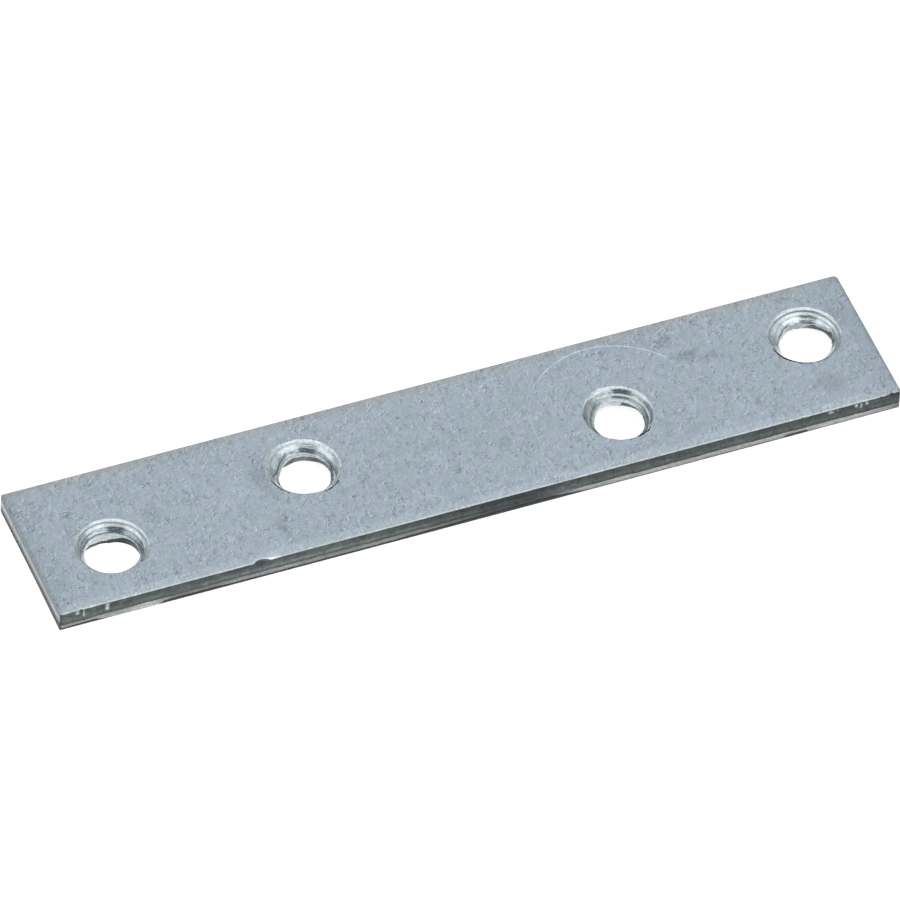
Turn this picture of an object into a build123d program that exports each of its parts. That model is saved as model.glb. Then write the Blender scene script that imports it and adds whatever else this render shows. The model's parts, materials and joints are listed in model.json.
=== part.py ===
"""Mending plate: a flat sheared steel strip with four stepped countersunk screw holes in a zigzag.

The plate lies flat on its underside, countersinks up. Length runs along X, width along Y.
The origin is the middle of the underside. Units are millimetres.
"""
import os
from math import atan, degrees

from build123d import *

# ---- The strip ----
length = 101.6              # 4 in
width = 19.05               # 3/4 in
thickness = 2.66            # 12 gauge sheet
corner_radius = 0.35        # the blanking die's corners, seen from above

# ---- The sheared edge, from the countersunk face down ----
roll_over = 0.1             # edge of the top face, drawn down by the shear
break_height = 0.88         # the torn band at the foot of the edge; the band above it is burnished
break_setback = 0.04        # how far the torn band leans in at the underside

# ---- Hole places ----
left_margin = 9.05          # first hole's centre to the left end
right_margin = 6.95         # last hole's centre to the right end
pair_pitch = 24.6           # along X, between the two holes at one end
near_margin = 7.6           # near row's centres to the near long edge
far_margin = 7.35           # far row's centres to the far long edge

# ---- Hole section, from the throat outwards and from the top face down ----
throat_radius = 3.05        # the punched land, which the screw's shank passes
cone_run = 0.62             # the countersink cone, measured across
cone_drop = 0.68
ledge_run = 0.24            # the shallow ring where the two countersink blows meet
ledge_drop = 0.11
mouth_run = 0.19            # the steep wall of the first, wider blow
mouth_drop = 0.31
land_length = 0.55
breakout_run = 0.4          # how much wider the torn exit is than the throat
lip_radius = 0.25           # the mouth's rim, rolled over by the punch

# ---- Worked out from the sizes above ----
break_angle = degrees(atan(break_setback / break_height))
mouth_radius = throat_radius + cone_run + ledge_run + mouth_run
mouth_floor = thickness - mouth_drop
ledge_floor = mouth_floor - ledge_drop
cone_floor = ledge_floor - cone_drop
land_floor = cone_floor - land_length
near_row = -width / 2 + near_margin
far_row = width / 2 - far_margin
first_x = -length / 2 + left_margin
last_x = length / 2 - right_margin
hole_places = [
    (first_x, near_row),
    (first_x + pair_pitch, far_row),
    (last_x - pair_pitch, near_row),
    (last_x, far_row),
]

# The tool that cuts one hole: half its section, turned about the hole's axis.
with BuildPart() as hole_form:
    with BuildSketch(Plane.XZ):
        with BuildLine():
            Polyline(
                (0, 0),
                (throat_radius + breakout_run, 0),
                (throat_radius, land_floor),
                (throat_radius, cone_floor),
                (throat_radius + cone_run, ledge_floor),
                (mouth_radius - mouth_run, mouth_floor),
                (mouth_radius, thickness),
                (0, thickness),
                close=True,
            )
        make_face()
    revolve(axis=Axis.Z)

with BuildPart() as mending_plate:
    # The burnished band of the edge, up to the top face
    with BuildSketch(Plane.XY.offset(break_height)):
        RectangleRounded(length, width, corner_radius)
    extrude(amount=thickness - break_height)
    top_outline = mending_plate.faces().sort_by(Axis.Z)[-1].edges()
    fillet(top_outline, radius=roll_over)
    # The torn band below it, leaning in towards the underside
    torn_band_root = mending_plate.faces().sort_by(Axis.Z)[0]
    extrude(torn_band_root, amount=break_height, taper=break_angle)
    # The four holes, and the rolled lip round each mouth
    with Locations(*hole_places):
        add(hole_form.part, mode=Mode.SUBTRACT)
    top_face = mending_plate.faces().sort_by(Axis.Z)[-1]
    mouth_rims = [rim.edge() for rim in top_face.inner_wires()]
    fillet(mouth_rims, radius=lip_radius)

mending_plate.part.label = "mending_plate"
os.makedirs("parts", exist_ok=True)
export_step(mending_plate.part, "parts/mending_plate.step")
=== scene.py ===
"""Looks of the mending plate: one sheared, zinc-plated steel strip with four stepped countersunk holes.

Lengths in this script are millimetres until a mesh or an object is made, which is in metres.
The plate lies along X. Its near edge is the one on the -Y side.
Turns round a hole are in degrees from +X, anticlockwise from above.
A tone is how light a spot of metal is against its own colour: 1 leaves it as it is.
A wave is a smooth random unevenness, given as (height, bends round its loop, seed).
"""
import json
import math

import bpy
import numpy as np
from mathutils import Matrix, Vector
from mathutils.geometry import delaunay_2d_cdt


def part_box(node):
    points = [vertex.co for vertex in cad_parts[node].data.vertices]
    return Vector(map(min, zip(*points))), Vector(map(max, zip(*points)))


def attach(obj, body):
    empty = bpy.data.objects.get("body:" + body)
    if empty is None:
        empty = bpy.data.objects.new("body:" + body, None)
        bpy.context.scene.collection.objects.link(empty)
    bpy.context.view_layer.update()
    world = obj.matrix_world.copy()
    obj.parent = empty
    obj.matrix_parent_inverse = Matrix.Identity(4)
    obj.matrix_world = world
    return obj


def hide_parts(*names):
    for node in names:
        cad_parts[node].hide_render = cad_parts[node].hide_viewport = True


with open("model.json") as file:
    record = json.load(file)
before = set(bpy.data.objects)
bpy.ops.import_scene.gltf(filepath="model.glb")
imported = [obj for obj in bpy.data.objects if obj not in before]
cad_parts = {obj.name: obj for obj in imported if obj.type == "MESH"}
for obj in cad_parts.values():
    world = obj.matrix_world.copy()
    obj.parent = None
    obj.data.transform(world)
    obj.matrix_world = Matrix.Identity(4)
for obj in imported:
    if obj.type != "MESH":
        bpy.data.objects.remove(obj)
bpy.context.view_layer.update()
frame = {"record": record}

MM = 0.001
NODE = "mending_plate"

# ---- The plate, from the frame ----
low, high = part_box(NODE)
LENGTH, WIDTH, THICK = [(b - a) / MM for a, b in zip(low, high)]
BORES = [m for m in frame["record"]["mounts"] if m["kind"] == "bore"]
HOLES = [(m["pos_m"][0] / MM, m["pos_m"][1] / MM) for m in BORES]

# ---- The sheared edge ----
CORNERS = [0.3, 0.55, 0.25, 0.25]  # corner radii seen from above, anticlockwise from the near right one
CORNER_STEPS = 8            # mesh steps round each corner
FACING_POWER = 4            # how fast a corner goes over from one edge's looks to the next one's
EDGE_SEED = 11
NEAR_STEP = 0.1             # spacing of the mesh along the near edge
FAR_STEP = 0.2              # and along the other three
ROLL = 0.1                  # the top edge, rounded down by the shear
TEAR = 0.012                # how far the torn band steps in
FOOT_GAP = 0.03             # height over which it does so
SURFACE = (0.004, 700, 9)   # wave of the burnished band

# Along the near edge, as (x, value) points joined by straight lines, and the value along the other three.
# Height of the foot of the burnished band, where the metal tore.
FEET = [(-50.8, 0.74), (-48, 0.75), (-46, 0.84), (-44, 0.88), (-30, 0.88), (0, 0.85), (14, 0.79),
        (24, 0.78), (31, 0.82), (50.8, 0.83)]
FOOT_ELSEWHERE = 0.88
FOOT_WAVES = [(0.05, 260, 3), (0.045, 70, 4)]
# How far the torn band leans in at its lip.
LEAN = [(-50.8, 0.07), (-36, 0.02), (-18, 0.0), (20, 0.0), (38, 0.0), (50.8, 0.05)]
LEAN_ELSEWHERE = 0.08
LEAN_WAVE = (0.04, 40, 5)
LEAN_GROWS = (-9, 4)        # on the ends it grows from nothing to all between these two y
LEAN_ABOVE = 0.6            # share of it that is there just above the lip
# Height of the lip, under which the edge is undercut and painted dark as shade.
LIP = [(-50.8, 0.3), (-46.5, 0.44), (-45.4, 0.04), (-39, 0.04), (-38.4, 0.44), (-32, 0.48), (-31, 0.34),
       (-11, 0.32), (-9, 0.42), (0, 0.55), (6, 0.62), (8.6, 0.6), (11.5, 0.3), (13, 0.1), (36.5, 0.1),
       (36.9, 0.42), (39.3, 0.42), (39.6, 0.07), (50.8, 0.1)]
LIP_ELSEWHERE = 0.3
LIP_WAVE = (0.22, 60, 6)
LIP_LEAST = 0.04
LIP_END = 0.01              # height at which the undercut and its painted shade end
# Tone of the burnished band.
SHEAR_TONE = [(-50.8, 1.1), (-48, 1.0), (-44, 0.9), (-30, 1.0), (-20, 1.1), (-12, 0.95), (-4, 0.62),
              (1, 0.5), (6, 0.48), (10, 0.82), (16, 0.8), (48, 0.72), (50.8, 0.56)]
SHEAR_ELSEWHERE = 1.0
SHEAR_WAVE = (0.12, 90, 7)
SHEAR_STREAKS = (0.12, 300)  # height and bends of its streaks, which differ from row to row
CORNER_SHADE = 1.2          # how much darker it is at the corners
# Tone of the torn band, and of its foot against its top.
TORN_TONE = [(-50.8, 0.75), (-44, 0.95), (-39.5, 1.3), (-37, 0.45), (-30, 0.7), (-24, 0.85), (-18, 0.6),
             (-10, 0.75), (-4, 0.42), (1, 0.22), (8.4, 0.28), (9.4, 0.7), (12.6, 1.1), (24, 1.12),
             (30, 1.02), (46, 1.2), (50.8, 0.5)]
TORN_FAR = (0.7, 0.2)       # its tone and the height of its wave along the far edge
TORN_ENDS = (0.14, 0.05)    # and at the two ends, where the low tone is painted shade
TORN_BENDS = (80, 8)        # bends and seed of that wave
TORN_FADE = [(-50.8, 1), (9, 1), (12.5, 0.6), (32, 0.6), (50.8, 0.8)]
TORN_STREAKS = (0.15, 120)
TORN_SPECKLE = (0.85, 1.15)
TORN_ROWS = [(0.25, 202), (0.5, 205), (0.75, 208), (1.0, 210)]  # share of the way down, seed of the streaks
TORN_ROUGH = 0.015
LIP_PARTS = (0.5, 1.0)
LIP_ROUGH = 0.01
UNDERSIDE = (0.02, 0.08)    # rings of the underside, from the foot of the edge inwards

# Dents in the near top edge: x, half width, how far in.
DENTS = [(-26.8, 1.5, 0.46), (38.6, 0.3, 0.16), (-48.4, 0.35, 0.12), (45.9, 0.8, 0.1), (49.6, 1.6, 0.16)]
DENT_DROP = 0.5             # how far down a dent goes, as a share of how far in
GLINT = (-25.4, 1.3, 0.9)   # painted highlight on the bright side of the first dent: x, half width, how much brighter
# How nicked the near top edge is, as (x, how far in).
NICKS = [(-50.8, 0.1), (-44, 0.08), (-40, 0.02), (20, 0.02), (30, 0.08), (44, 0.14), (50.8, 0.18)]
NICK_WAVE = (1, 420, 13)
NICK_FLOOR = 0.1            # the wave's part above this is a nick
# Bright scrapes down the near burnished band: x, half width, length down from the top, tone.
SCRAPES = [(-48.75, 0.36, 0.8, 6.0), (-48.0, 0.18, 1.3, 5.5), (-45.2, 0.36, 1.3, 6.5),
           (42.2, 0.5, 0.75, 8.0), (43.0, 0.2, 0.5, 5.0), (45.3, 0.3, 0.75, 9.0), (45.9, 0.2, 1.1, 7.0),
           (46.6, 0.26, 0.8, 8.0)]
SCRAPE_FADE = 0.3
# Lighter lines along the burnished band: from x, to x, share of the way down, tone.
STREAKS = [(-35.0, 0.0, 0.68, 1.35), (6.0, 12.6, 0.9, 2.0), (46.9, 50.0, 0.25, 1.7)]
STREAK_BLUNT = 0.3          # the lower, the more even a line is from end to end
# Rings of the top face beside the roll: how far in from it, and how much of the glint reaches them.
RIM_RINGS = [(0.1, 0.3), (0.03, 0.6)]
# Rows round the roll: degrees, tone on the near edge, how deep a dent is bare there.
ROLL_ROWS = [(22, 0.9, 0.2), (45, 0.72, 0.14), (68, 0.6, 0.08), (90, 0.7, 0)]
END_RIM = 0.8               # tone of the roll at the ends
ROLL_WAVE = (0.1, 400, 12)
ROLL_DARK_SPOTS = [(-21, 9, 0.14), (50, 6, 0.14)]  # where the near roll is darker: x, half width, how much
# Rows of the burnished band, as (share of the way down, tone on the near edge).
NEAR_ROWS = [(0.1, 0.75), (0.25, 0.85), (0.4, 0.9), (0.55, 1.15), (0.68, 1.3), (0.78, 1.15), (0.9, 0.85),
             (1.0, 0.9)]
# Tones down the ends, in the same way; the high ones are a painted reflection of the bright surround on the
# ends' burnished band.
END_ROWS = [(0, 0.9), (0.2, 1.1), (0.4, 2.6), (0.55, 3.7), (0.68, 3.4), (0.78, 1.7), (0.9, 0.8), (1, 0.5)]

# ---- Holes ----
HOLE_STEPS = 224            # mesh columns round each hole
TEAR_STEP = 0.1             # spacing of the mesh down the land and the torn exit
EXIT_GAP = 0.04             # how far above the underside the last of them is
HOLE_SEED = 20              # seed of the first hole, and the others count on from it
CUT = 0.25                  # share of a side that is cut off where the section's corners are rounded
RIM_START = 0.05            # added radius at which the section starts
LAND_START = 0.1            # depth under the cone's foot at which the land is straight
SHIFT_DEPTH = 0.15          # depth by which a hole is wholly off its rim's middle
FLARE_DEPTH = 0.1           # depth by which its flare is gone
FAR_SIDE = 65               # turn of the wall that faces the camera
LEFT = (130, 50)            # middle and half width of the left side, in degrees
RIGHT = (-15, 62)           # and of the right side
NEAR_FROM = (108, 123)      # degrees off the far side from which a wall is on the near side: partly, wholly
NEAR_SWELL = 0.8            # share of the swell that is there from the rim on, on the near side
SWELL_FROM = (0.3, 1.0)     # depths between which it grows on the others
FAR_HALF = 100              # half width of the far side, over which the painted tones fade
SIDE_FADE = 0.25            # share of them that is left away from it
LAND_SHADE = 0.6            # how much darker the foot of the cone and the land are on the right
LAND_SHADE_FROM = (0.8, 1.1)  # depths between which that sets in
NEAR_SHADE = 0.5            # how much darker the lower cone is on the near side
NEAR_SHADE_FROM = (0.6, 0.9)
LAND_EDGE = 0.03            # how much wider than the throat still counts as the land, for its tone
LIT_EDGE = 0.12             # and for its lift
CONE_DEPTHS = (0.2, 0.58)   # depths below which the upper and the lower cone start
LIT_DEPTH = 1.62            # how far down the left side of the land is painted bright
# Waves of a hole, as (height, bends round it, what is added to the hole's seed).
TEAR_WAVE = (0.05, 40, 300)
EXIT_WAVE = (0.03, 30, 400)
OVAL = (0.012, 7, 50)
# And those that go with the hole's "rough".
GROOVES = (0.006, 26, 100)
CHIPS = (0.008, 90, 200)
BURR = (0.035, 60, 600)     # gone at BURR_DEPTH
BURR_DEPTH = 0.3
MARKS = (0.12, 80, 500)     # in the tone
EXIT_START = 0.02           # how far the torn exit steps back from the land
EXIT_END = 0.01             # and its last ring's height above the underside
EXIT_BEND = 1.5             # how it widens: evenly at 1, and mostly near the underside above 1
EXIT_ROUGH = 0.02
EXIT_LAYERS = (0.9, 1.15)   # tones of its layers in turn
EXIT_SPECKLE = (0.8, 1.2)
# Rings of the top face and of the underside round a hole: added radius.
MOUTH_RINGS = (0.4, 0.1)
EXIT_RINGS = (0.04, 0.4)

# Each hole's section, as corners (radius, depth, tone); the tones are painted light and shade on its rings,
# most on the far side. "shift" is how far the hole below is off the rim's middle, in x and y.
# "flare" is where the rim is dished outwards: degrees from +X, half width in degrees, how far.
# "rough" is how uneven its surface is.
# "tear" is where the land ends and the torn exit starts, as (degrees from +X, depth, tone of the torn metal's
# painted shade).
# "exit" is the torn hole at the underside, as (degrees from +X, radius).
# "land" is the land's tone, and "lift" the painted light that makes the upper cone, the lower cone and the
# top of the land brighter on the left.
# "swell" is how far the throat is from round, as (degrees from +X, added radius).
FORMS = [
    dict(mouth=[(4.2, 0, 0.9), (4.08, 0.16, 0.95), (4.0, 0.19, 0.35), (3.86, 0.22, 0.4), (3.81, 0.3, 1),
                (3.57, 0.55, 1), (3.54, 0.64, 0.8), (3.38, 0.9, 1), (3.18, 1.25, 0.85)],
         shift=(-0.03, -0.07), flare=(150, 40, 0.12), rough=0.5, land=0.92, lift=(-0.25, 0.5, 0.35),
         tear=[(0, 1.38, 1.4), (17, 1.42, 1.4), (28, 1.42, 1.3), (38, 1.52, 1.1), (49, 1.72, 1.0),
               (57, 1.92, 1.0), (65, 2.06, 1.4), (80, 2.27, 2.2), (104, 2.16, 2.8), (130, 1.8, 2.6),
               (160, 1.42, 2.4), (340, 1.42, 1.5), (360, 1.38, 1.4)],
         exit=[(0, 3.42), (30, 3.44), (75, 3.02), (105, 3.15), (135, 3.46), (360, 3.42)],
         swell=[(0, 0), (120, 0), (155, -0.1), (192, -0.1), (225, -0.12), (245, -0.2), (260, -0.26),
                (275, -0.36), (290, -0.42), (305, -0.34), (320, -0.2), (335, -0.07), (360, 0)]),
    dict(mouth=[(4.17, 0, 0.95), (4.03, 0.16, 0.95), (3.95, 0.19, 0.7), (3.83, 0.22, 0.7), (3.76, 0.33, 1),
                (3.5, 0.62, 1), (3.36, 0.86, 0.95), (3.19, 1.2, 0.85), (3.1, 1.23, 0.5),
                (2.98, 1.26, 0.7)],
         shift=(-0.02, -0.05), flare=(150, 50, 0.45), rough=1.3, land=0.9, lift=(-0.15, -0.1, 0),
         tear=[(0, 1.26, 1.5), (38, 1.28, 1.5), (52, 1.35, 1.7), (65, 1.42, 3.0), (82, 1.5, 3.4),
               (92, 1.48, 2.4), (101, 1.62, 2.6), (112, 1.72, 2.8), (125, 1.68, 3.0), (150, 1.4, 3.0),
               (340, 1.32, 2.0), (360, 1.26, 1.5)],
         exit=[(0, 3.5), (30, 3.62), (60, 3.42), (105, 3.12), (125, 3.24), (150, 3.3), (190, 3.5),
               (360, 3.5)],
         swell=[(0, 0), (105, 0), (130, -0.25), (145, -0.36), (160, -0.28), (175, -0.06), (190, 0.1),
                (205, 0.2), (225, 0.08), (245, 0), (262, -0.06), (280, 0.05), (295, 0.18), (310, 0.22),
                (325, 0.12), (335, 0.03), (360, 0)]),
    dict(mouth=[(4.05, 0, 0.9), (3.9, 0.19, 0.95), (3.74, 0.46, 0.9), (3.58, 0.77, 0.8), (3.45, 0.79, 0.6),
                (3.25, 1.18, 0.65), (2.92, 1.27, 0.85)],
         shift=(-0.02, -0.05), flare=(120, 60, 0.15), rough=1.2, land=1, lift=(-0.35, -0.3, 0.2),
         tear=[(0, 1.28, 1.8), (28, 1.3, 1.8), (38, 1.33, 1.5), (58, 1.4, 1.5), (64, 1.95, 4.5),
               (80, 1.85, 4.5), (104, 1.75, 4.0), (130, 1.65, 3.0), (155, 1.5, 2.4), (200, 1.5, 2.2),
               (340, 1.4, 2.0), (360, 1.28, 1.8)],
         exit=[(0, 3.6), (30, 3.85), (60, 3.62), (84, 3.84), (104, 3.95), (125, 3.85), (150, 3.6),
               (360, 3.6)],
         swell=[(0, 0.03), (95, 0), (115, -0.1), (135, -0.3), (155, -0.34), (170, -0.22), (186, -0.08),
                (245, 0), (275, 0.06), (290, 0.2), (305, 0.27), (320, 0.25), (335, 0.16), (350, 0.05),
                (360, 0.03)]),
    dict(mouth=[(4.22, 0, 0.9), (4.05, 0.17, 0.95), (3.98, 0.29, 0.2), (3.87, 0.3, 0.2), (3.8, 0.37, 1),
                (3.6, 0.57, 1), (3.55, 0.64, 0.6), (3.5, 0.71, 0.75), (3.42, 0.82, 1.3), (3.28, 1.0, 1.3),
                (3.2, 1.1, 1.05), (3.04, 1.36, 1.35)],
         shift=(-0.03, -0.06), flare=(150, 40, 0.1), rough=0.8, land=0.66, lift=(0, 0, 0.1),
         tear=[(0, 0.95, 1.2), (17, 1.17, 1.2), (28, 1.34, 1.2), (38, 1.5, 1.2), (47, 1.3, 1.2),
               (57, 1.56, 2.5), (65, 1.75, 4.0), (76, 2.3, 7.0), (130, 2.2, 6.0), (155, 1.5, 2.4),
               (200, 1.4, 2.2), (345, 1.4, 2.0), (360, 0.95, 1.2)],
         exit=[(0, 3.62), (30, 3.76), (60, 3.54), (75, 3.42), (135, 3.5), (360, 3.62)],
         swell=[(0, 0.06), (100, 0), (115, -0.12), (132, -0.36), (150, -0.34), (165, -0.24), (180, -0.1),
                (195, 0.15), (210, 0.34), (225, 0.3), (245, 0.16), (275, 0.12), (300, 0.02), (320, 0.08),
                (335, 0.1), (360, 0.06)]),
]

# ---- Flat faces ----
MERGE = 1e-7                # points of the fill nearer than this are one
GRID_STEP = 1.2             # spacing of the loose points on the top face and the underside
GRID_MARGIN = 1.2           # and their least distance to the outline
TOP_CLEAR = 5.4             # and to the holes' centres on the top face
UNDER_CLEAR = 4.6           # and on the underside

# ---- Material slots of the mesh, in order ----
# The last slot, DEEP, is the nearly black metal painted as shade.
FACE, SINK, SHEAR, TORN, DEEP = range(5)


def smooth_loop(count, knots, seed):
    """A smooth closed random curve between -1 and 1, with that many bends round its loop."""
    values = np.random.default_rng(seed).uniform(-1, 1, knots)
    place = np.arange(count) / count * knots
    here = place.astype(int) % knots
    part = place % 1
    part = part * part * (3 - 2 * part)
    return values[here] * (1 - part) + values[(here + 1) % knots] * part


def wavy(count, wave):
    """A wave given as (height, bends, seed)."""
    height, bends, seed = wave
    return height * smooth_loop(count, bends, seed)


def along(points, x):
    """The value at x on a curve given as (x, value) points."""
    return np.interp(x, *np.array(points).T)


def bump(x, centre, half):
    """1 at the centre, falling smoothly to 0 at half on either side."""
    near = np.clip(1 - np.abs(x - centre) / half, 0, 1)
    return near * near * (3 - 2 * near)


def ramp(value, start, end):
    """0 up to the start, 1 from the end on, and even between them."""
    return np.clip((value - start) / (end - start), 0, 1)


def away(degrees, side):
    """How many degrees each turn is off a side."""
    return np.abs((degrees - side + 180) % 360 - 180)


def outline():
    """Points on the plate's outline, anticlockwise from above, and their outward normals."""
    points, normals = [], []
    # Signs of a corner's x and y, the turn at which its arc starts, and the spacing along the side before it.
    sides = [(1, -1, -90, NEAR_STEP), (1, 1, 0, FAR_STEP), (-1, 1, 90, FAR_STEP), (-1, -1, 180, FAR_STEP)]

    def corner(k, turn):
        """A point on a corner's arc, at a turn in degrees from +X, and the way it faces."""
        sx, sy = sides[k][:2]
        middle = np.array([sx * (LENGTH / 2 - CORNERS[k]), sy * (WIDTH / 2 - CORNERS[k])])
        facing = np.array([math.cos(math.radians(turn)), math.sin(math.radians(turn))])
        return middle + CORNERS[k] * facing, facing

    for k, (_, _, first, spacing) in enumerate(sides):
        start, facing = corner(k - 1, first)
        end, _ = corner(k, first)
        count = round(math.dist(start, end) / spacing)
        for step in range(count):
            points.append(start + (end - start) * step / count)
            normals.append(facing)
        for step in range(CORNER_STEPS):
            point, facing = corner(k, first + 90 * step / CORNER_STEPS)
            points.append(point)
            normals.append(facing)
    return np.array(points), np.array(normals)


class Skin:
    """Gathers the points and faces of one closed mesh."""

    def __init__(self):
        self.points = []
        self.tones = []
        self.faces = []
        self.slots = []

    def loop(self, x, y, z, tone=1.0):
        """Adds one ring of points and returns their numbers."""
        first = len(self.points)
        self.points += list(zip(x, y, np.broadcast_to(z, len(x))))
        self.tones += list(np.broadcast_to(tone, len(x)))
        return np.arange(first, len(self.points))

    def band(self, upper, lower, slot, inward=False):
        """Joins two rings with quads that face out of an outline or, with inward, into a hole."""
        slots = np.broadcast_to(slot, len(upper))
        for a, b, c, d, s in zip(upper, lower, np.roll(lower, -1), np.roll(upper, -1), slots):
            self.faces.append((a, d, c, b) if inward else (a, b, c, d))
            self.slots.append(int(s))

    def cap(self, outer, holes, grid, slot, up):
        """Fills the flat face between an outer ring and the hole rings with triangles."""
        rings = [outer, *holes]
        numbers = np.concatenate([*rings, grid])
        owner = np.concatenate([np.full(len(r), k) for k, r in enumerate([*rings, grid])])
        flat = [Vector(self.points[n][:2]) for n in numbers]
        edges, first = [], 0
        for ring in rings:
            count = len(ring)
            edges += [(first + k, first + (k + 1) % count) for k in range(count)]
            first += count
        inside_only = 1         # no triangles outside the outline
        _, _, faces, origin, _, _ = delaunay_2d_cdt(flat, edges, [], inside_only, MERGE)
        for face in faces:
            corners = [origin[k][0] for k in face]
            owners = {int(owner[k]) for k in corners}
            if len(owners) == 1 and 1 <= owners.pop() <= len(holes):
                continue
            corners = [int(numbers[k]) for k in corners]
            self.faces.append(tuple(corners) if up else tuple(reversed(corners)))
            self.slots.append(slot)


def edge_rings(skin):
    """The rings of the sheared edge from the top face down, and the material slot under each."""
    base, out = outline()
    count = len(base)
    noise = np.random.default_rng(EDGE_SEED)
    x, y = base.T
    near = np.clip(-out[:, 1], 0, 1) ** FACING_POWER
    ends = np.abs(out[:, 0]) ** FACING_POWER
    corner = (1 - np.abs(out[:, 1]) ** FACING_POWER - ends).clip(0)
    dent = sum(deep * bump(x, at, half) for at, half, deep in DENTS) * near
    dent = dent + near * along(NICKS, x) * (wavy(count, NICK_WAVE) - NICK_FLOOR).clip(0)

    def mixed(points, elsewhere):
        """A curve along the near edge, and another value on the other three."""
        return near * along(points, x) + (1 - near) * elsewhere

    lean = mixed(LEAN, (LEAN_ELSEWHERE + wavy(count, LEAN_WAVE)) * ramp(y, *LEAN_GROWS))
    lip = mixed(LIP, LIP_ELSEWHERE + wavy(count, LIP_WAVE)).clip(LIP_LEAST)
    shear_tone = mixed(SHEAR_TONE, SHEAR_ELSEWHERE + wavy(count, SHEAR_WAVE)) * (1 - CORNER_SHADE * corner)
    level, height = (far + (end - far) * ends for far, end in zip(TORN_FAR, TORN_ENDS))
    torn_tone = mixed(TORN_TONE, level + wavy(count, (height, *TORN_BENDS))) * (1 - corner)
    torn_fade = mixed(TORN_FADE, 1.0)
    foot = mixed(FEET, FOOT_ELSEWHERE) + sum(wavy(count, wave) for wave in FOOT_WAVES)
    glint = 1 + GLINT[2] * bump(x, *GLINT[:2]) * near
    # unevenness of the near roll's tone: a random wave, and darker spots
    roll_unevenness = 1 + wavy(count, ROLL_WAVE) - sum(much * bump(x, at, half) for at, half, much in ROLL_DARK_SPOTS)
    surface = SURFACE[0] + wavy(count, SURFACE)

    rings, slots = [], []

    def ring(inset, z, slot, tone=1.0):
        inset = np.broadcast_to(inset, count)
        place = base - out * inset[:, None]
        rings.append(skin.loop(place[:, 0], place[:, 1], z, tone))
        slots.append(slot)

    for inset, reach in RIM_RINGS:
        ring(ROLL + inset + dent, THICK, FACE, glint ** reach)
    for turn, dim, hit in ROLL_ROWS:
        s, c = math.sin(math.radians(turn)), math.cos(math.radians(turn))
        bare = dent > hit
        tone = 1 + near * (dim * roll_unevenness * glint - 1) + ends * (END_RIM - 1)
        z = THICK - (ROLL + DENT_DROP * dent) * (1 - c)
        ring((ROLL + dent) * (1 - s), z, np.where(bare, SHEAR, FACE), tone * np.where(bare, shear_tone, 1))
    slots[-1] = SHEAR
    top = THICK - ROLL - DENT_DROP * dent
    for part, near_row in NEAR_ROWS:
        z = top + (foot - top) * part
        rows = 1 + near * (near_row - 1) + ends * (along(END_ROWS, part) - 1)
        row_seed = round(100 * part)
        tone = shear_tone * rows * (1 + wavy(count, (*SHEAR_STREAKS, row_seed)))
        for start, end, where, shine in STREAKS:
            if part == where:
                shape = bump(x, (start + end) / 2, (end - start) / 2) ** STREAK_BLUNT
                tone = tone * (1 + (shine - 1) * shape * near)
        for at, half, length, shine in SCRAPES:
            reach = ramp(z, THICK - length, THICK - length + SCRAPE_FADE)
            tone = tone * (1 + (shine - 1) * bump(x, at, half) * reach * near)
        ring(surface * part, z, SHEAR, tone)
    slots[-1] = TORN
    ring(TEAR + surface, foot - FOOT_GAP, TORN, torn_tone)
    for part, row_seed in TORN_ROWS:
        rough = noise.uniform(-TORN_ROUGH, TORN_ROUGH, count)
        z = foot * (1 - part) + lip * part
        fade = 1 + (torn_fade - 1) * part ** 2
        streaks = 1 + wavy(count, (*TORN_STREAKS, row_seed))
        ring((TEAR + surface + LEAN_ABOVE * lean * part + rough).clip(0), z, TORN,
             torn_tone * fade * streaks * noise.uniform(*TORN_SPECKLE, count))
    # the undercut lip gets the nearly black metal, a painted shade
    slots[-1] = DEEP
    for part in LIP_PARTS:
        rough = noise.uniform(-LIP_ROUGH, LIP_ROUGH, count)
        ring((TEAR + lean + rough).clip(0), lip * (1 - part) + LIP_END * part, DEEP)
    for inset in UNDERSIDE:
        ring(TEAR + lean + inset, 0.0, FACE)
    return rings, slots


def rounded(corners):
    """Rounds the corners of a line by cutting each one off."""
    line = np.array(corners, float)
    first, second = line[:-1], line[1:]
    cut = np.stack([first * (1 - CUT) + second * CUT, first * CUT + second * (1 - CUT)], axis=1)
    return np.concatenate([line[:1], cut.reshape(-1, line.shape[1]), line[-1:]])


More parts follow.
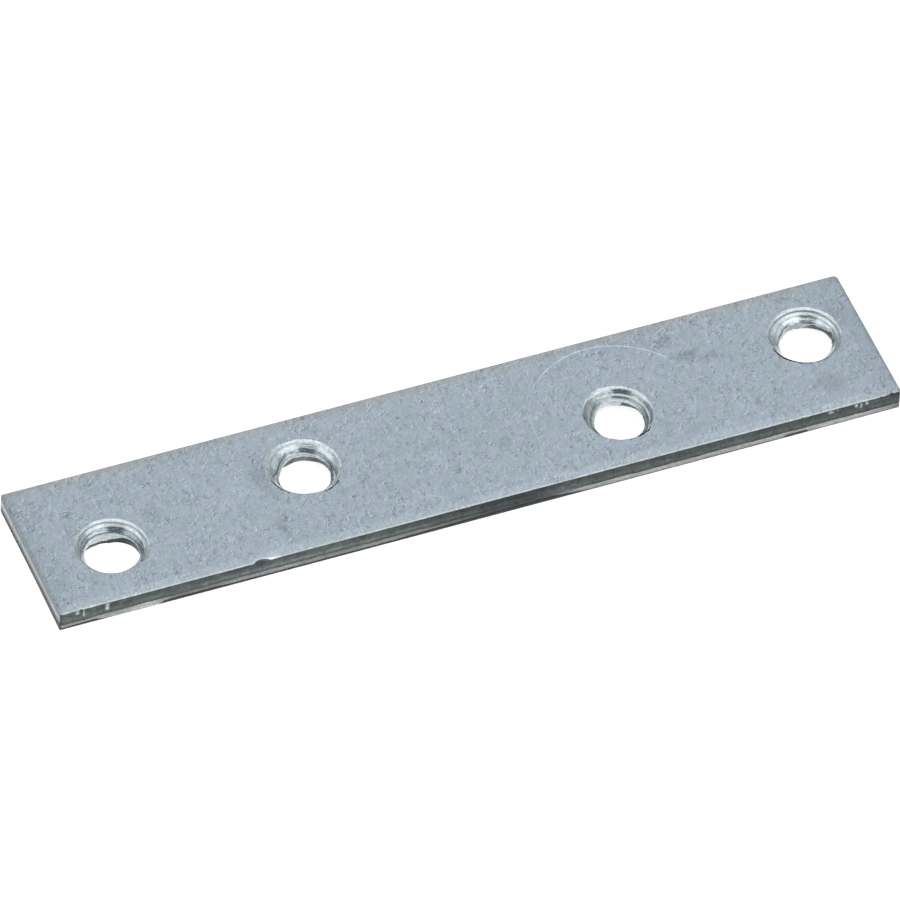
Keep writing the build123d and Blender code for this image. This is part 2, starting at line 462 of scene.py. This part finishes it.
def hole_rings(skin, centre, form, seed):
    """The rings of one stepped hole from the top face down, and the material slots under each."""
    turn = np.arange(HOLE_STEPS) / HOLE_STEPS * 2 * math.pi
    degrees = np.degrees(turn)
    noise = np.random.default_rng(seed)
    rings, slots = [], []

    def ring(r, depth, slot, tone=1.0):
        r = np.broadcast_to(r, HOLE_STEPS)
        x, y = np.array(centre) + np.array(form["shift"]) * min(depth / SHIFT_DEPTH, 1)
        rings.append(skin.loop(x + r * np.cos(turn), y + r * np.sin(turn), THICK - depth, tone))
        slots.append(slot)

    def own(wave, extra=0):
        """One of the waves above, for this hole."""
        height, bends, added = wave
        return wavy(HOLE_STEPS, (height, bends, seed + added + extra))

    def rough(wave, extra=0):
        return form["rough"] * own(wave, extra)

    mouth = form["mouth"]
    rim, throat = mouth[0][0], mouth[-1][0]
    at, half, amount = form["flare"]
    flare = amount * bump(degrees, at, half)
    for added in MOUTH_RINGS:
        ring(rim + added + flare, 0.0, FACE)
    line = rounded([(rim + RIM_START, 0.0, 1), *mouth, (throat, mouth[-1][1] + LAND_START, 1)])
    below = np.arange(line[-1][1] + TEAR_STEP, THICK - EXIT_GAP, TEAR_STEP)
    section = np.concatenate([line, [(throat, depth, 1) for depth in below]])
    foot = along([t[:2] for t in form["tear"]], degrees) + own(TEAR_WAVE)
    tear_tone = along([t[::2] for t in form["tear"]], degrees)
    leave = along(form["exit"], degrees) + own(EXIT_WAVE)
    swell = along(form["swell"], degrees)
    edge = np.interp(foot, section[:, 1], section[:, 0]) + swell
    off = away(degrees, FAR_SIDE)
    left = bump(degrees, *LEFT)
    right = bump(away(degrees, RIGHT[0]), 0, RIGHT[1])
    nearby = ramp(off, *NEAR_FROM)
    far = SIDE_FADE + (1 - SIDE_FADE) * bump(off, 0, FAR_HALF)
    oval = own(OVAL)
    # plated holds each corner's tone, which is painted light and shade
    for k, (r, depth, plated) in enumerate(section):
        layer = k // 2          # two rows share one
        inside = min(depth / FLARE_DEPTH, 1)
        pressed = r + inside * (oval + rough(GROOVES, k) + rough(CHIPS, layer)) + flare * (1 - inside)
        pressed = pressed + rough(BURR) * (1 - ramp(depth, 0, BURR_DEPTH))
        pressed = pressed + swell * np.maximum(ramp(depth, *SWELL_FROM), NEAR_SWELL * nearby)
        share = (depth - foot) / (THICK - foot)
        ragged = edge + EXIT_START + (leave - edge) * share.clip(0) ** EXIT_BEND
        ragged = ragged + noise.uniform(-EXIT_ROUGH, EXIT_ROUGH, HOLE_STEPS)
        # random marks, times the section's painted light and shade, which fades away from the far side
        marks_and_painted_light = (1 + rough(MARKS, layer)) * (1 - (1 - plated) * far)
        marks_and_painted_light = marks_and_painted_light * (1 - NEAR_SHADE * nearby * ramp(depth, *NEAR_SHADE_FROM))
        marks_and_painted_light = marks_and_painted_light * (1 - LAND_SHADE * right * ramp(depth, *LAND_SHADE_FROM))
        if r < throat + LAND_EDGE:
            marks_and_painted_light = marks_and_painted_light * form["land"]
        if CONE_DEPTHS[0] < depth < LIT_DEPTH:
            level = 2 if r < throat + LIT_EDGE else int(depth > CONE_DEPTHS[1])
            marks_and_painted_light = marks_and_painted_light * (1 + form["lift"][level] * left)
        # the torn exit gets the nearly black metal, a painted shade, lifted by its tones
        torn_tone = tear_tone * EXIT_LAYERS[layer % 2] * noise.uniform(*EXIT_SPECKLE, HOLE_STEPS)
        is_torn = share > 0
        ring(np.where(is_torn, ragged, pressed), depth, np.where(is_torn, DEEP, SINK),
             np.where(is_torn, torn_tone, marks_and_painted_light))
    ring(leave, THICK - EXIT_END, FACE)
    for added in EXIT_RINGS:
        ring(leave + added, THICK, FACE)
    return rings, slots


def grid_points(skin, z, clear):
    """Loose points on a flat face, so that its triangles stay even."""
    reach = [size / 2 - GRID_MARGIN for size in (LENGTH, WIDTH)]
    xs, ys = (np.arange(-far, far, GRID_STEP) for far in reach)
    spots = [(x, y) for x in xs for y in ys if all(math.dist((x, y), h) > clear for h in HOLES)]
    x, y = np.array(spots).T
    return skin.loop(x, y, z)


def make_plate():
    """The whole plate as one closed mesh."""
    skin = Skin()
    edge, edge_slots = edge_rings(skin)
    holes = [hole_rings(skin, h, form, HOLE_SEED + k) for k, (h, form) in enumerate(zip(HOLES, FORMS))]
    for upper, lower, slot in zip(edge, edge[1:], edge_slots):
        skin.band(upper, lower, slot)
    for rings, slots in holes:
        for upper, lower, slot in zip(rings, rings[1:], slots):
            skin.band(upper, lower, slot, inward=True)
    skin.cap(edge[0], [rings[0] for rings, _ in holes], grid_points(skin, THICK, TOP_CLEAR), FACE, True)
    skin.cap(edge[-1], [rings[-1] for rings, _ in holes], grid_points(skin, 0.0, UNDER_CLEAR), FACE, False)
    mesh = bpy.data.meshes.new("plate_skin")
    mesh.from_pydata([(x * MM, y * MM, z * MM) for x, y, z in skin.points], [], skin.faces)
    mesh.attributes.new("tone", "FLOAT", "POINT").data.foreach_set("value", np.array(skin.tones, np.float32))
    for row in METALS:
        mesh.materials.append(metal(*row))
    mesh.polygons.foreach_set("material_index", skin.slots)
    mesh.shade_smooth()
    mesh.update()
    plate = bpy.data.objects.new("plate_skin", mesh)
    bpy.context.collection.objects.link(plate)
    return plate


class Graph:
    """Makes and joins the nodes of one material or world."""

    def __init__(self, owner):
        owner.use_nodes = True
        self.tree = owner.node_tree
        self.tree.nodes.clear()

    def node(self, kind, inputs=(), **settings):
        made = self.tree.nodes.new(kind)
        for name, value in settings.items():
            setattr(made, name, value)
        for name, value in dict(inputs).items():
            if isinstance(value, bpy.types.NodeSocket):
                self.tree.links.new(value, made.inputs[name])
            else:
                made.inputs[name].default_value = value
        return made

    def math(self, operation, a, b=0.0, c=0.0):
        return self.node("ShaderNodeMath", {0: a, 1: b, 2: c}, operation=operation).outputs[0]

    def add(self, *values):
        """The sum of all the values."""
        total = values[0]
        for value in values[1:]:
            total = self.math("ADD", total, value)
        return total

    def times(self, a, b):
        return self.math("MULTIPLY", a, b)

    def weigh(self, start, *terms):
        """The start and, for each (value, weight), the value times its weight."""
        return self.add(start, *(self.times(value, weight) for value, weight in terms))

    def vector(self, operation, a, b=(0.0, 0.0, 0.0)):
        made = self.node("ShaderNodeVectorMath", {0: a, 1: b}, operation=operation)
        return made.outputs["Value" if operation in ("LENGTH", "DOT_PRODUCT") else "Vector"]

    def part(self, vector, axis):
        return self.node("ShaderNodeSeparateXYZ", {0: vector}).outputs[axis]

    def texture(self, place, scale, detail, warp=0.0):
        inputs = {"Vector": place, "Scale": scale, "Detail": detail, "Distortion": warp}
        return self.node("ShaderNodeTexNoise", inputs).outputs

    def noise(self, place, *settings):
        """Noise from about -1 to 1. Its settings are bends a millimetre, detail and, if wanted, warp."""
        spread = 4.0            # as the node's own noise is mostly between a quarter and three quarters
        return self.math("MULTIPLY_ADD", self.texture(place, *settings)["Fac"], spread, -spread / 2)

    def noises(self, place, *settings):
        """Three noises as one vector, each from 0 to 1."""
        return self.texture(place, *settings)["Color"]

    def ease(self, value, start, end, low=0.0, high=1.0):
        """Goes smoothly from low at start to high at end."""
        inputs = {"Value": value, "From Min": start, "From Max": end, "To Min": low, "To Max": high}
        return self.node("ShaderNodeMapRange", inputs, interpolation_type="SMOOTHSTEP").outputs["Result"]

    def patches(self, place, noise, start, end, low=0.0, high=1.0):
        """Low where a noise is below the start, high where it is above the end, and smooth between them."""
        return self.ease(self.noise(place, *noise), start, end, low, high)

    def stretch(self, place, scale, turn):
        """A place turned about Z, in degrees, and then scaled along each axis."""
        turned = self.node("ShaderNodeMapping", {"Vector": place, "Rotation": (0, 0, math.radians(turn))})
        return self.vector("MULTIPLY", turned.outputs["Vector"], scale)

    def place(self):
        """The point's place on the plate in millimetres."""
        metres = self.node("ShaderNodeTexCoord").outputs["Object"]
        return self.vector("MULTIPLY", metres, (1 / MM, 1 / MM, 1 / MM))

    def blend(self, factor, a, b):
        """A mix of two colours, through the node's sockets for colours."""
        made = self.node("ShaderNodeMix", {0: factor, 6: a, 7: b}, data_type="RGBA")
        return made.outputs[2]

    def tinted(self, colour, tone):
        """A colour made lighter or darker by a tone that varies."""
        made = self.node("ShaderNodeVectorMath", {0: colour, "Scale": tone}, operation="SCALE")
        return made.outputs["Vector"]

    def tone(self):
        """The tone that the mesh gives the point."""
        return self.node("ShaderNodeAttribute", attribute_name="tone").outputs["Fac"]


def metal(name, make, roughness, depth):
    """A metal whose colour, extra roughness and height come from make(graph)."""
    material = bpy.data.materials.new(name)
    graph = Graph(material)
    colour, rougher, height = make(graph)
    relief = graph.node("ShaderNodeBump", {"Height": height, "Distance": depth * MM, "Strength": 1.0})
    shader = graph.node("ShaderNodeBsdfPrincipled", {
        "Base Color": colour, "Metallic": 1.0, "Roughness": graph.add(roughness, rougher),
        "Normal": relief.outputs["Normal"]})
    graph.node("ShaderNodeOutputMaterial", {"Surface": shader.outputs["BSDF"]})
    return material


# ---- Marks on the top face ----
# Dark smudges, and painted shade of the dished rim at the left and lower left of the second hole: x, y, half
# size along X and Y, how dark.
SMUDGES_AND_SHADE = [(27.9, 6.8, 1.4, 0.5, 0.22), (29.9, 3.6, 1.5, 0.9, 0.2), (32.0, 2.6, 1.2, 0.7, 0.16),
           (43.9, -5.6, 1.7, 1.5, 0.14), (43.5, 8.0, 1.2, 0.4, 0.2), (5.3, -1.8, 1.0, 0.8, 0.12),
           (-22.3, 2.4, 1.2, 3.2, 0.16), (-22.5, -5.5, 0.8, 1.6, 0.12), (-35.8, 1.5, 1.0, 1.2, 0.14),
           (-41.0, 7.8, 0.35, 0.3, 0.3), (48.0, 4.4, 0.9, 1.4, 0.14)]
SMUDGE_EDGE = (1.5, 0.3)    # where a smudge is gone and where it is full, in half sizes from its middle
FRAY = 1.0                  # how far its outline is moved about, either way
FRAY_NOISE = (0.9, 3.0)     # bends a millimetre and detail of that
UPPER = (0.6, 0.4)          # depths between which the marks of the top face fade out
SCRATCH_CORE = 0.02         # a scratch is full up to here from its middle
ARC_CENTRE = (19.4, -1.85)  # the thin scratch that curves round the third hole
ARC_RADIUS = 10.15
ARC_WIDTH = 0.085           # and gone from here on
ARC_NOISE = (0.25, 2.0)     # how it wanders
ARC_WANDER = 0.06
ARC_BRIGHT = (34, 132)      # degrees from +X between which it is bright
ARC_FAINT = (120, 204)      # and between which it is faint
ARC_FAINTNESS = 0.3
ARC_FADE = 6                # degrees over which it fades at its ends
ARC_WRAP = -1.0             # radians from +X below which a turn is counted on beyond half a turn
ARC_GAPS = ((0.9, 3.0), -0.7, 0.2, 0.35)  # how it is broken up, as Graph.patches takes it
ARC_TONE = 0.75             # how much brighter it makes the face
# Hairline scratches: start and end.
HAIRLINES = [((-45.6, 5.6), (-45.7, 0.6)), ((-45.4, -3.2), (-45.6, -6.8)), ((-50.4, -7.5), (-46.6, -7.9)),
             ((-7.1, 7.6), (-6.7, 4.0))]
HAIR_WIDTH = 0.1
HAIR_NOISE = (0.4, 1.0)
HAIR_WANDER = 0.05
HAIR_FADE = 0.4             # length over which a hairline fades at its ends
HAIR_GAPS = ((0.8, 2.0), -0.8, 0.2, 0.3)
HAIR_DEPTH = 0.16           # how much darker it makes the face
# Bands of the top face along the near edge: distances from it where a band starts and is full, how much
# lighter.
NEAR_BANDS = [(1.45, 0.9, 0.12), (0.5, 0.25, 0.04)]
BAND_NOISE = (0.6, 1.0)     # how they wander
BAND_WANDER = 0.04
TIP_BAND = (5, 0, -0.09)    # and at both ends: a broad one with a frayed outline
BRINK_BAND = (0.5, 0.25, -0.14)  # and a narrow one

# ---- Metals ----
# Colours, of which a pair is the two that a metal changes between.
ZINC = [(0.332, 0.41, 0.449, 1), (0.351, 0.401, 0.472, 1)]
ZINC_NEAR = (0.352, 0.4, 0.429, 1)  # along the near edge
NEAR_TINT = (0.6, 0.3)      # distances from that edge where it starts and is full
ZINC_FAR = (0.35, 0.355, 0.36, 1)  # along the far edge
FAR_TINT = (1.8, -0.3, 0.9)  # distances from that edge where it starts and would be full, how much of it
ZINC_SINK = (0.4, 0.455, 0.48)
# The sheared band's colours hold a painted dark reflection of the surround in front of the plate.
SHEARED_DARK_REFLECTION = [(0.077, 0.093, 0.085, 1), (0.077, 0.088, 0.094, 1)]
TORN_STEEL = (0.3, 0.318, 0.31)
# Nearly black: a painted shade for the undercut lip and the torn exits of the holes.
DEEP_SHADE_COLOUR = (0.048, 0.054, 0.055)
# Noises, as (bends a millimetre, detail, warp). A WAY is how the one above it is stretched: scale along each
# axis, turn in degrees.
BENDING = (0.5, 2.0)        # this one moves the places of the mottle and the strokes
CLOUD = (0.09, 2.0)
MOTTLE = (0.8, 3.0, 0.6)
GRAIN = (3.2, 2.0)
STROKES = (1.0, 2.0, 0.3)
STROKES_WAY = ((3.6, 0.8, 1.0), 4)
CROSS = (1.0, 2.0, 0.5)
CROSS_WAY = ((0.8, 3.4, 1.0), -20)
SINK_RINGS = (1.2, 2.0)
SINK_RINGS_WAY = ((1.0, 1.0, 9.0), 0)
SINK_FLECKS = (2.2, 2.0)
SHEAR_LINES = (1.0, 3.0)
SHEAR_LINES_WAY = ((4.0, 4.0, 0.8), 0)
SHEAR_BROAD = (1.0, 2.0)
SHEAR_BROAD_WAY = ((0.9, 0.9, 1.4), 0)
SHEAR_FLECKS = (3.0, 2.0)
TORN_GRAINS = (1.0, 3.0)
TORN_GRAINS_WAY = ((3.0, 3.0, 2.0), 0)
TORN_FLECKS = (7.0, 2.0)
TORN_LAYERS = (1.0, 2.0)
TORN_LAYERS_WAY = ((0.5, 1.0, 7.0), 0)
DEEP_GRAINS = (1.0, 3.0)
DEEP_GRAINS_WAY = ((3.0, 3.0, 3.0), 0)
# Patches, as Graph.patches takes them.
CROWD = ((0.5, 2.0, 1.0), -0.6, 0.5, 0.5, 1.2)  # how strong the small marks of the zinc are
ZINC_TINT = ((0.6, 2.0), -1.1, 1.1)
SHEAR_TINT = ((0.7, 2.0), -0.8, 0.8)
SHEAR_PITS = ((2.2, 2.0), 0.6, 1.1)
# Short curved strokes in the zinc, as (bends a millimetre, width, seed).
LIGHT_WORMS = (1.6, 0.26, 3.1)
DARK_WORMS = (1.5, 0.26, 7.7)
DARK_WAY = ((1.3, 0.8, 1.0), 10)
SHADE_SHIFT = (-0.12, 0.12, 0.0)  # from a light stroke to its painted shade
WORM_DETAIL = 1.0
WORM_WARP = 0.8
# The noise that breaks them up: its bends as a share of theirs, level where they are gone, level where full.
WORM_LENGTHS = (0.7, -0.1, 0.4)
WORM_SEED_STEP = 2.7        # how much further a seed moves them along Y than along X


def arc_scratch(g, place):
    """How bright the curved scratch is at a place."""
    local = g.vector("SUBTRACT", place, (*ARC_CENTRE, THICK))
    flat = g.vector("MULTIPLY", local, (1.0, 1.0, 0.0))
    off = g.weigh(g.vector("LENGTH", flat), (g.noise(place, *ARC_NOISE), ARC_WANDER))
    line = g.ease(g.math("ABSOLUTE", g.add(off, -ARC_RADIUS)), ARC_WIDTH, SCRATCH_CORE)
    angle = g.math("ARCTAN2", g.part(flat, "Y"), g.part(flat, "X"))
    whole = g.weigh(angle, (g.math("LESS_THAN", angle, ARC_WRAP), 2 * math.pi))
    fade = math.radians(ARC_FADE)

    def between(span):
        start, end = (math.radians(a) for a in span)
        return g.times(g.ease(whole, start, start + fade), g.ease(whole, end, end - fade))

    strength = g.weigh(between(ARC_BRIGHT), (between(ARC_FAINT), ARC_FAINTNESS))
    return g.times(g.times(line, strength), g.patches(place, *ARC_GAPS))


def hairline(g, place, start, end):
    """How strong a straight hairline scratch between two points is at a place."""
    length = math.dist(start, end)
    way = [(b - a) / length for a, b in zip(start, end)]
    local = g.vector("SUBTRACT", place, (*start, THICK))
    run = g.vector("DOT_PRODUCT", local, (*way, 0.0))
    across = g.vector("DOT_PRODUCT", local, (-way[1], way[0], 0.0))
    off = g.math("ABSOLUTE", g.weigh(across, (g.noise(place, *HAIR_NOISE), HAIR_WANDER)))
    kept = g.times(g.ease(run, 0.0, HAIR_FADE), g.ease(run, length, length - HAIR_FADE))
    return g.times(g.times(g.ease(off, HAIR_WIDTH, SCRATCH_CORE), kept), g.patches(place, *HAIR_GAPS))


def worms(g, place, scale, width, seed):
    """Short curved strokes: where a smooth noise passes through zero, broken up by another."""
    moved = g.vector("ADD", place, (seed, WORM_SEED_STEP * seed, 0.0))
    level = g.math("ABSOLUTE", g.noise(moved, scale, WORM_DETAIL, WORM_WARP))
    share, gone, full = WORM_LENGTHS
    kept = g.patches(moved, (share * scale, WORM_DETAIL), gone, full)
    return g.times(g.ease(level, width, 0.0), kept)


def zinc_texture(g):
    """The zinc-plated rolled surface: mottled, with fine grain and short strokes across the strip."""
    place = g.place()
    bent = g.vector("ADD", place, g.noises(place, *BENDING))
    cloud = g.noise(place, *CLOUD)
    mottle = g.noise(bent, *MOTTLE)
    crowd = g.patches(place, *CROWD)
    grain = g.noise(place, *GRAIN)
    strokes = g.noise(g.stretch(bent, *STROKES_WAY), *STROKES)
    cross = g.noise(g.stretch(place, *CROSS_WAY), *CROSS)
    light = worms(g, place, *LIGHT_WORMS)
    # a painted shade beside each light stroke, so that it looks raised and lit from one side
    beside = worms(g, g.vector("ADD", place, SHADE_SHIFT), *LIGHT_WORMS)
    dark = worms(g, g.stretch(place, *DARK_WAY), *DARK_WORMS)
    marks = g.weigh(0.0, (grain, 0.12), (strokes, 0.1), (cross, 0.06), (light, 0.34), (beside, -0.3),
                    (dark, -0.26))
    tone = g.weigh(1.0, (cloud, 0.025), (mottle, 0.045), (marks, crowd))
    height = g.weigh(light, (grain, 0.5), (strokes, 0.6), (mottle, 0.4), (dark, -1.0))
    rougher = g.times(g.add(mottle, grain), 0.03)
    return place, tone, rougher, height


def zinc_face(g):
    """Top face and underside."""
    place, tone, rougher, height = zinc_texture(g)
    moved = g.vector("MULTIPLY", g.noises(place, *FRAY_NOISE), (2 * FRAY, 2 * FRAY, 0.0))
    frayed = g.vector("SUBTRACT", g.vector("ADD", place, moved), (FRAY, FRAY, 0.0))
    dark = 0.0
    for x, y, wide, tall, strength in SMUDGES_AND_SHADE:
        off = g.vector("MULTIPLY", g.vector("SUBTRACT", frayed, (x, y, THICK)), (1 / wide, 1 / tall, 1.0))
        dark = g.math("MAXIMUM", dark, g.ease(g.vector("LENGTH", off), *SMUDGE_EDGE, 0.0, strength))
    upper = g.ease(g.part(place, "Z"), *(THICK - depth for depth in UPPER))
    arc = g.times(arc_scratch(g, place), upper)
    hairs = g.times(g.add(*(hairline(g, place, *ends) for ends in HAIRLINES)), upper)
    from_near = g.weigh(g.part(place, "Y"), (g.noise(place, *BAND_NOISE), BAND_WANDER))
    from_near = g.add(from_near, WIDTH / 2)

    def end_band(where, start, full, much):
        from_middle = g.math("ABSOLUTE", g.part(where, "X"))
        return g.ease(from_middle, LENGTH / 2 - start, LENGTH / 2 - full, 0.0, much)

    bands = [g.ease(from_near, start, full, 0.0, much) for start, full, much in NEAR_BANDS]
    bands += [end_band(frayed, *TIP_BAND), end_band(place, *BRINK_BAND)]
    tone = g.weigh(g.times(tone, g.math("SUBTRACT", 1.0, dark)), (arc, ARC_TONE), (hairs, -HAIR_DEPTH))
    tone = g.times(g.add(tone, *bands), g.tone())
    start, full, much = FAR_TINT
    far = g.ease(g.part(frayed, "Y"), WIDTH / 2 - start, WIDTH / 2 - full, 0.0, much)
    colour = g.blend(g.patches(place, *ZINC_TINT), *ZINC)
    colour = g.blend(g.ease(from_near, *NEAR_TINT), colour, ZINC_NEAR)
    colour = g.blend(far, colour, ZINC_FAR)
    return g.tinted(colour, tone), rougher, g.math("SUBTRACT", height, arc)


def countersink(g):
    """The pressed steps and cones of the holes: brighter zinc, with fine rings."""
    place, tone, _, _ = zinc_texture(g)
    rings = g.noise(g.stretch(place, *SINK_RINGS_WAY), *SINK_RINGS)
    flecks = g.noise(place, *SINK_FLECKS)
    tone = g.times(g.weigh(0.4, (tone, 0.6), (rings, 0.05)), g.tone())
    return g.tinted(ZINC_SINK, tone), g.times(flecks, 0.04), g.weigh(rings, (flecks, 0.25))


def sheared(g):
    """The burnished band of the sheared edge: dark from a painted reflection of a dark surround, drawn down
    in fine lines.
    """
    place = g.place()
    lines = g.noise(g.stretch(place, *SHEAR_LINES_WAY), *SHEAR_LINES)
    broad = g.noise(g.stretch(place, *SHEAR_BROAD_WAY), *SHEAR_BROAD)
    flecks = g.noise(place, *SHEAR_FLECKS)
    pits = g.patches(place, *SHEAR_PITS)
    tone = g.times(g.weigh(1.0, (lines, 0.16), (broad, 0.24), (flecks, 0.28), (pits, -0.4)), g.tone())
    colour = g.blend(g.patches(place, *SHEAR_TINT), *SHEARED_DARK_REFLECTION)
    return g.tinted(colour, tone), g.times(lines, 0.05), g.add(lines, flecks)


def torn(g):
    """The torn band under it: pale and grainy."""
    place = g.place()
    grains = g.noise(g.stretch(place, *TORN_GRAINS_WAY), *TORN_GRAINS)
    flecks = g.noise(place, *TORN_FLECKS)
    layers = g.noise(g.stretch(place, *TORN_LAYERS_WAY), *TORN_LAYERS)
    tone = g.times(g.weigh(1.0, (grains, 0.18), (flecks, 0.14), (layers, 0.16)), g.tone())
    return g.tinted(TORN_STEEL, tone), g.times(grains, 0.08), g.add(grains, flecks)


def deep_tear_shade(g):
    """The undercut lip and the torn exits of the holes: nearly black, a painted shade."""
    grains = g.noise(g.stretch(g.place(), *DEEP_GRAINS_WAY), *DEEP_GRAINS)
    tone = g.times(g.weigh(1.0, (grains, 0.35)), g.tone())
    return g.tinted(DEEP_SHADE_COLOUR, tone), g.times(grains, 0.08), grains


# The metals in the order of the mesh's slots: name, what makes it, roughness, depth of its relief.
METALS = [("zinc_face", zinc_face, 0.33, 0.004), ("countersink", countersink, 0.19, 0.006),
          ("sheared_band", sheared, 0.38, 0.004), ("torn_band", torn, 0.5, 0.02),
          ("deep_tear_shade", deep_tear_shade, 0.55, 0.02)]

# ---- Floor and light ----
FLOOR_HALF = 4.0            # metres
FLOOR_DROP = 0.03           # gap under the plate, which keeps the two surfaces apart
FLOOR_COLOUR = 0.27
FLOOR_GLOW = 0.82           # what the camera sees besides the light that falls on it
FLOOR_SHINE = 1.1           # and what the metal sees


def floor():
    """A pale floor that shows white and keeps the shadow, and is clear from below."""
    mesh = bpy.data.meshes.new("floor")
    s, z = FLOOR_HALF, -FLOOR_DROP * MM
    mesh.from_pydata([(-s, -s, z), (s, -s, z), (s, s, z), (-s, s, z)], [], [(0, 1, 2, 3)])
    ground = bpy.data.objects.new("floor", mesh)
    bpy.context.collection.objects.link(ground)
    material = bpy.data.materials.new("floor")
    g = Graph(material)
    path = g.node("ShaderNodeLightPath").outputs
    seen = g.times(g.math("MAXIMUM", path["Is Camera Ray"], path["Is Transmission Ray"]), FLOOR_GLOW)
    shine = g.times(path["Is Glossy Ray"], FLOOR_SHINE)
    paint = g.node("ShaderNodeBsdfDiffuse", {"Color": (FLOOR_COLOUR,) * 3 + (1,)})
    glow = g.node("ShaderNodeEmission", {"Strength": g.math("MAXIMUM", seen, shine)})
    both = g.node("ShaderNodeAddShader", {0: paint.outputs[0], 1: glow.outputs[0]})
    below = g.node("ShaderNodeNewGeometry").outputs["Backfacing"]
    clear = g.node("ShaderNodeBsdfTransparent")
    either = g.node("ShaderNodeMixShader", {0: below, 1: both.outputs[0], 2: clear.outputs[0]})
    g.node("ShaderNodeOutputMaterial", {"Surface": either.outputs[0]})
    mesh.materials.append(material)


def toward(azimuth, height):
    """The direction of a light, with azimuth 0 on the near side and 90 at the right."""
    a, e = math.radians(azimuth), math.radians(height)
    return (math.sin(a) * math.cos(e), -math.cos(a) * math.cos(e), math.sin(e))


# Softboxes of the studio: azimuth, height, full inside and gone outside these angles, strength.
SOFTBOXES = [(-25, 76, 30, 48, 1.0), (32, 16, 22, 38, 1.15), (-88, 16, 20, 36, 0.8), (80, 20, 14, 34, 0.4),
             (-132, 20, 14, 34, 0.55)]
DARK = (-31, 5, 18, 34)     # the dark side, behind the camera: azimuth, height, full inside, gone outside
DARK_TOP = (17, 31)         # degrees up: full below, gone above
DARK_DEPTH = 0.87
SKY = 0.98
HORIZON = 0.62              # how bright the sky is at the horizon, as a share of SKY
HORIZON_HEIGHT = 30         # degrees up at which it reaches SKY


def studio():
    """The light: an even white surround with softboxes, and dark low down behind the camera."""
    world = bpy.data.worlds.new("studio")
    bpy.context.scene.world = world
    g = Graph(world)
    direction = g.node("ShaderNodeTexCoord").outputs["Generated"]

    def spot(azimuth, height, full, gone):
        along_it = g.vector("DOT_PRODUCT", direction, toward(azimuth, height))
        return g.ease(along_it, math.cos(math.radians(gone)), math.cos(math.radians(full)))

    up = g.part(direction, "Z")
    light = g.ease(up, 0.0, math.sin(math.radians(HORIZON_HEIGHT)), SKY * HORIZON, SKY)
    for azimuth, height, full, gone, strength in SOFTBOXES:
        light = g.add(light, g.times(spot(azimuth, height, full, gone), strength))
    low = g.ease(up, *(math.sin(math.radians(a)) for a in reversed(DARK_TOP)))
    dark = g.times(spot(*DARK), low)
    light = g.times(light, g.math("SUBTRACT", 1.0, g.times(dark, DARK_DEPTH)))
    seen = g.node("ShaderNodeLightPath").outputs["Is Camera Ray"]
    white = g.add(g.times(light, g.math("SUBTRACT", 1.0, seen)), seen)
    back = g.node("ShaderNodeBackground", {"Color": (1, 1, 1, 1), "Strength": white})
    g.node("ShaderNodeOutputWorld", {"Surface": back.outputs[0]})


# ---- Camera ----
CAMERA_AZIMUTH = -24.64     # degrees, looking along +Y at 0
CAMERA_HEIGHT = 47.65       # degrees above the floor
CAMERA_ROLL = 3.9           # degrees, the right side of the frame tipped up
CAMERA_DISTANCE = 1573.2
CAMERA_LENS = 560.0
CAMERA_SENSOR = 36
CAMERA_CLIP = 10            # metres
CAMERA_AIM = (-0.756, -0.896, THICK)


def camera():
    """The photo's view."""
    data = bpy.data.cameras.new("camera")
    data.lens = CAMERA_LENS
    data.sensor_width = CAMERA_SENSOR
    data.clip_end = CAMERA_CLIP
    cam = bpy.data.objects.new("camera", data)
    bpy.context.collection.objects.link(cam)
    back = Vector(toward(CAMERA_AZIMUTH, CAMERA_HEIGHT))
    cam.location = Vector(CAMERA_AIM) * MM + back * CAMERA_DISTANCE * MM
    turn = (-back).to_track_quat("-Z", "Y").to_matrix().to_4x4()
    turn = turn @ Matrix.Rotation(math.radians(CAMERA_ROLL), 4, "Z")
    cam.rotation_mode = "QUATERNION"
    cam.rotation_quaternion = turn.to_quaternion()
    bpy.context.scene.camera = cam


plate = make_plate()
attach(plate, "root")
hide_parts(NODE)
floor()
studio()
camera()
bpy.context.scene.view_settings.view_transform = "Standard"
